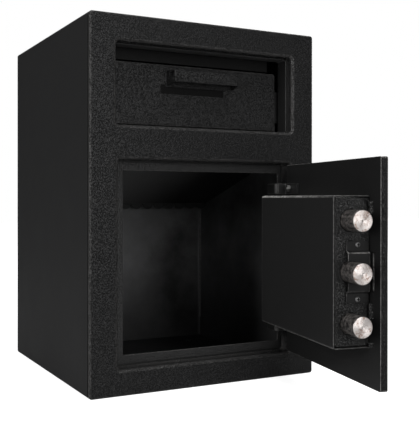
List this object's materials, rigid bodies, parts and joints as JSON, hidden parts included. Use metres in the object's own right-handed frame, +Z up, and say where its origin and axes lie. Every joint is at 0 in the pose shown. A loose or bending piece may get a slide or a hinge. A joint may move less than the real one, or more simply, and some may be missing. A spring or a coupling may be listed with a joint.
{
  "type": "drop safe with deposit drawer",
  "caption": "Free-standing steel drop safe: a tilting deposit drawer above a scalloped chute, and a hinged door with live round bolts, lever handle and combination dial below.",
  "frame": {"origin": "centre of the cabinet's underside, where it rests on the floor", "axes": "+Z up, -Y out of the front, +X to the right of someone facing the front, towards the door's hinges"},
  "size_m": [0.3556, 0.6163, 0.508],
  "materials": {
    "textured_black": "fine textured black paint",
    "satin_black": "smooth satin black paint",
    "turned_steel": "turned bright steel",
    "plain_steel": "plain mill steel",
    "zinc_plate": "zinc plated",
    "satin_nickel": "satin nickel plate",
    "dial_black": "semi-gloss black",
    "brass": "plain brass"
  },
  "bodies": {
    "cabinet": {"body_shell": "satin_black", "back_panel": "satin_black", "front_frame": "textured_black", "door_stop_frame": "textured_black", "bolt_keeper": "satin_black", "hinge_bracket_upper": "satin_black", "hinge_bracket_lower": "satin_black", "hinge_pin_upper": "zinc_plate", "hinge_pin_lower": "zinc_plate", "chute_plate": "satin_black", "anti_fish_plate": "satin_black", "drawer_bracket_left": "satin_black", "drawer_bracket_right": "satin_black", "drawer_hinge_rod": "zinc_plate", "rod_clip_left": "zinc_plate", "rod_clip_right": "zinc_plate", "drawer_bush_left": "brass", "drawer_bush_right": "brass", "drawer_liner": "satin_black"},
    "drawer": {"drawer_face": "textured_black", "drawer_pull": "textured_black", "bin_side_left": "satin_black", "bin_side_right": "satin_black", "bin_floor": "satin_black", "drawer_stop_pin_left": "zinc_plate", "drawer_stop_pin_right": "zinc_plate"},
    "door": {"door_plate": "satin_black", "hinge_arm_upper": "satin_black", "hinge_arm_lower": "satin_black", "hinge_arm_nut_upper": "zinc_plate", "hinge_arm_nut_lower": "zinc_plate", "box_cover": "satin_black", "bolt_plate": "textured_black", "guide_plate": "plain_steel", "guide_strap": "satin_black", "strap_screw_upper": "zinc_plate", "strap_screw_lower": "zinc_plate", "side_tab": "satin_black", "handle_bush": "brass", "handle_escutcheon": "satin_nickel", "dial_ring": "satin_nickel", "lock_case": "zinc_plate", "lock_screw_upper_left": "brass", "lock_screw_upper_right": "brass", "lock_screw_lower_left": "brass", "lock_screw_lower_right": "brass"},
    "boltwork": {"bolt_upper": "turned_steel", "bolt_middle": "turned_steel", "bolt_lower": "turned_steel", "bolt_carrier": "plain_steel", "bolt_screw_upper": "zinc_plate", "bolt_screw_middle": "zinc_plate", "bolt_screw_lower": "zinc_plate"},
    "handle": {"lever_handle": "satin_nickel", "handle_shaft": "plain_steel", "crank_arm": "plain_steel"},
    "dial": {"combination_dial": "dial_black", "dial_spindle": "plain_steel"}
  },
  "joints": [
    {"name": "door_swing", "type": "hinge", "parent": "cabinet", "child": "door", "pos_m": [0.1455, -0.166, 0.17635], "axis": [0, 0, 1], "range_deg": [-79.4, 30]},
    {"name": "bolt_slide", "type": "slide", "parent": "door", "child": "boltwork", "axis": [0.184, 0.9829, 0], "range_m": [0, 0.022]},
    {"name": "handle_turn", "type": "hinge", "parent": "door", "child": "handle", "pos_m": [0.11318, -0.32782, 0.17635], "axis": [-0.9829, 0.184, 0], "range_deg": [0, 90]},
    {"name": "dial_spin", "type": "hinge", "parent": "door", "child": "dial", "pos_m": [0.12624, -0.25803, 0.20785], "axis": [0.9829, -0.184, 0], "continuous": true},
    {"name": "drawer_tilt", "type": "hinge", "parent": "cabinet", "child": "drawer", "pos_m": [0, -0.13, 0.3702], "axis": [1, 0, 0], "range_deg": [0, 48]}
  ],
  "couplings": [
    {"joint": "handle_turn", "follows": "bolt_slide", "rad_per_m": 71.395}
  ]
}
